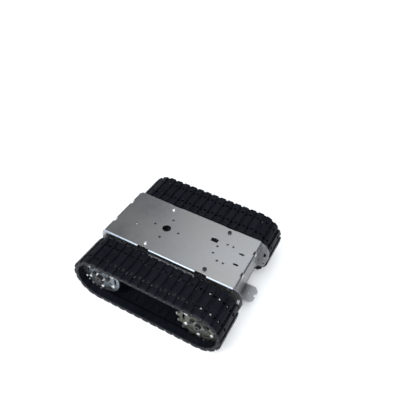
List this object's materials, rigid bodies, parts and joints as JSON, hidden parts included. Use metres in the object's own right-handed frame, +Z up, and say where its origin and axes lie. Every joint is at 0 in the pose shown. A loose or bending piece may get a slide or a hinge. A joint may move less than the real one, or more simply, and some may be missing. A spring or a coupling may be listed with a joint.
{
  "type": "tracked tank chassis",
  "caption": "Low tracked chassis with a folded metal hull, a drilled flat deck and two linked plastic tracks on disc wheels, for carrying a small robot arm.",
  "frame": {"origin": "on the ground under the middle of the chassis", "axes": "+X along the tracks towards the end whose right-hand wheel is driven, +Y to the left, +Z up"},
  "size_m": [0.227, 0.1964, 0.0759],
  "materials": {
    "deck_metal": "sandblasted and anodised, satin",
    "hull_metal": "sandblasted and anodised, satin",
    "track_plastic": "moulded, slightly glossy on the worn faces",
    "pin_steel": "drawn wire",
    "disc_metal": "laser cut, satin",
    "hub_metal": "turned",
    "black_fastener": "black oxide",
    "bright_fastener": "nickel plated",
    "spacer_metal": "turned",
    "bearing_steel": "ground",
    "motor_can": "zinc plated",
    "gearbox_metal": "satin",
    "circuit_board": "solder mask",
    "socket_plastic": "moulded"
  },
  "bodies": {
    "chassis": {"bottom_plate": "hull_metal", "bottom_plate_nuts": "bright_fastener", "bottom_plate_screws": "bright_fastener", "deck_front_screws": "black_fastener", "deck_pillars": "spacer_metal", "deck_plate": "deck_metal", "deck_rear_screws": "bright_fastener", "encoder_boards": "circuit_board", "encoder_sockets": "socket_plastic", "flange_nuts": "bright_fastener", "flange_screws": "black_fastener", "idler_axle_nuts": "bright_fastener", "idler_sleeves": "spacer_metal", "left_idler_axle": "black_fastener", "left_motor_can": "motor_can", "left_motor_gearbox": "gearbox_metal", "left_side_plate": "hull_metal", "left_track_links": "track_plastic", "left_track_pins": "pin_steel", "motor_mount_screws": "black_fastener", "pillar_foot_screws": "bright_fastener", "right_idler_axle": "black_fastener", "right_motor_can": "motor_can", "right_motor_gearbox": "gearbox_metal", "right_side_plate": "hull_metal", "right_track_links": "track_plastic", "right_track_pins": "pin_steel"},
    "right_drive_wheel": {"right_drive_centre_screw": "black_fastener", "right_drive_hex_washer": "bright_fastener", "right_drive_hub": "hub_metal", "right_drive_hub_bolts": "black_fastener", "right_drive_inner_disc": "disc_metal", "right_drive_outer_disc": "disc_metal", "right_drive_shaft": "bearing_steel", "right_drive_spacer_screws": "bright_fastener", "right_drive_spacers": "spacer_metal"},
    "right_idler_wheel": {"right_idler_bearings": "bearing_steel", "right_idler_hub": "hub_metal", "right_idler_hub_bolts": "black_fastener", "right_idler_inner_disc": "disc_metal", "right_idler_outer_disc": "disc_metal", "right_idler_spacer_screws": "bright_fastener", "right_idler_spacers": "spacer_metal"},
    "left_drive_wheel": {"left_drive_centre_screw": "black_fastener", "left_drive_hex_washer": "bright_fastener", "left_drive_hub": "hub_metal", "left_drive_hub_bolts": "black_fastener", "left_drive_inner_disc": "disc_metal", "left_drive_outer_disc": "disc_metal", "left_drive_shaft": "bearing_steel", "left_drive_spacer_screws": "bright_fastener", "left_drive_spacers": "spacer_metal"},
    "left_idler_wheel": {"left_idler_bearings": "bearing_steel", "left_idler_hub": "hub_metal", "left_idler_hub_bolts": "black_fastener", "left_idler_inner_disc": "disc_metal", "left_idler_outer_disc": "disc_metal", "left_idler_spacer_screws": "bright_fastener", "left_idler_spacers": "spacer_metal"}
  },
  "joints": [
    {"name": "right_drive_spin", "type": "hinge", "parent": "chassis", "child": "right_drive_wheel", "pos_m": [0.0735, -0.074, 0.03559], "axis": [0, 1, 0], "continuous": true},
    {"name": "right_idler_spin", "type": "hinge", "parent": "chassis", "child": "right_idler_wheel", "pos_m": [-0.0735, -0.074, 0.03559], "axis": [0, 1, 0], "continuous": true},
    {"name": "left_drive_spin", "type": "hinge", "parent": "chassis", "child": "left_drive_wheel", "pos_m": [-0.0735, 0.074, 0.03559], "axis": [0, 1, 0], "continuous": true},
    {"name": "left_idler_spin", "type": "hinge", "parent": "chassis", "child": "left_idler_wheel", "pos_m": [0.0735, 0.074, 0.03559], "axis": [0, 1, 0], "continuous": true}
  ],
  "couplings": [
    {"joint": "right_idler_spin", "follows": "right_drive_spin", "ratio": 1},
    {"joint": "left_idler_spin", "follows": "left_drive_spin", "ratio": 1}
  ]
}
